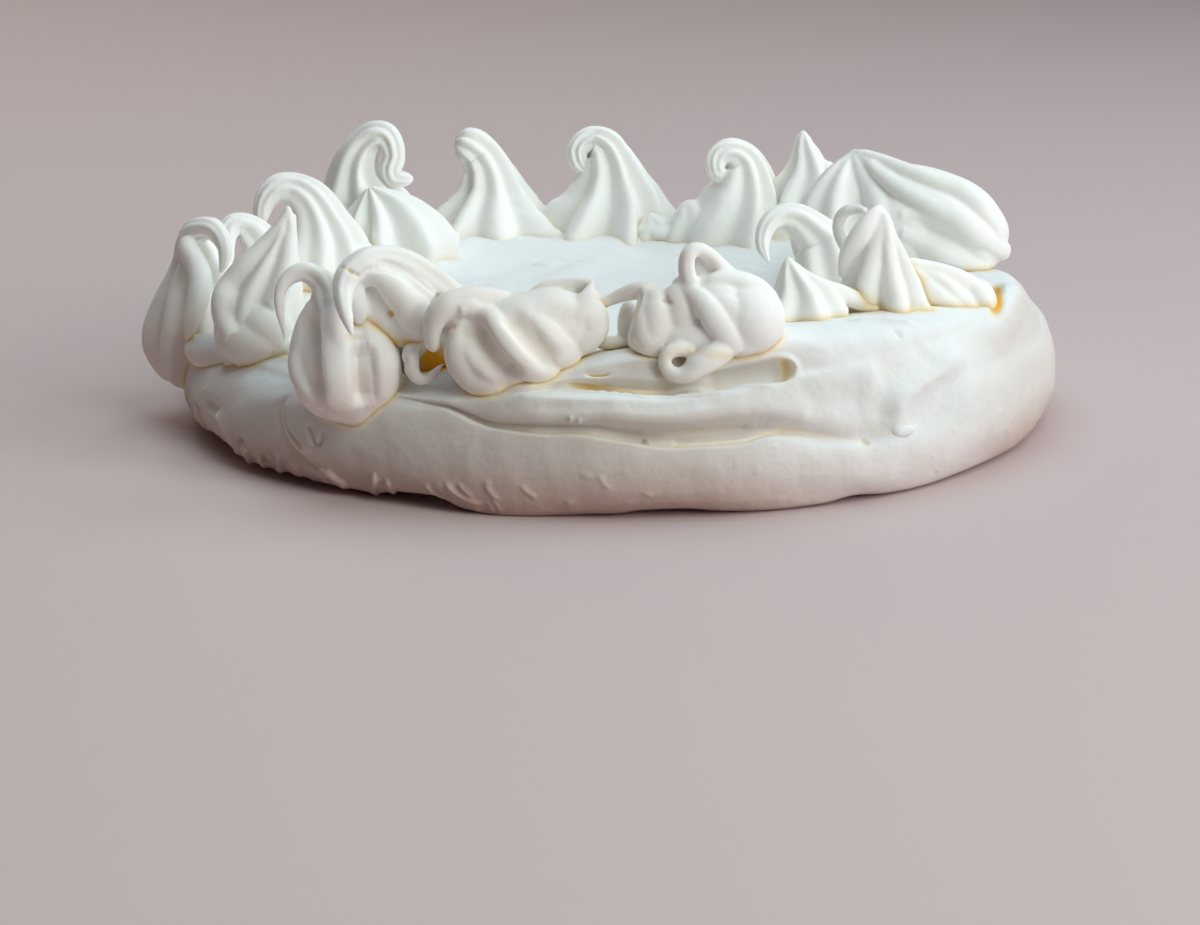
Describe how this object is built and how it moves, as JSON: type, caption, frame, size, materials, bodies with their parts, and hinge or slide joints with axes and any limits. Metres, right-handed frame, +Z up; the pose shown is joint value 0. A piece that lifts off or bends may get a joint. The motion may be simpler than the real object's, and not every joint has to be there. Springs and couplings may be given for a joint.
{
  "type": "pavlova",
  "caption": "Round pavlova: a thick meringue base with a rolled wall and a sunk middle, ringed with star-piped meringue kisses whose tips curl over.",
  "frame": {"origin": "middle of the base's flat underside, on the axis that the base's wall goes round", "axes": "+Z up out of the base; the front, with the hooked kisses and the double layer in the wall, faces -Y; +X is to the right seen from the front"},
  "size_m": [0.2355, 0.2195, 0.0648],
  "materials": {
    "baked_meringue": "dry matte baked meringue, cream, with golden creases",
    "meringue": "dry matte piped meringue, off-white"
  },
  "bodies": {
    "root": {"base": "baked_meringue", "kiss_left_outer": "meringue", "kiss_left_arch": "meringue", "kiss_left_peak": "meringue", "kiss_left_hook": "meringue", "kiss_front_hook": "meringue", "kiss_front_claw": "meringue", "kiss_front_turned": "meringue", "kiss_front_shell": "meringue", "kiss_right_small": "meringue", "kiss_right_peak": "meringue", "kiss_right_low": "meringue", "kiss_right_arch": "meringue", "kiss_right_long": "meringue", "kiss_back_right": "meringue", "kiss_back_peak": "meringue", "kiss_back_curl": "meringue", "kiss_back_middle": "meringue", "kiss_back_bent": "meringue", "kiss_back_low": "meringue", "kiss_back_loop": "meringue"}
  },
  "joints": []
}
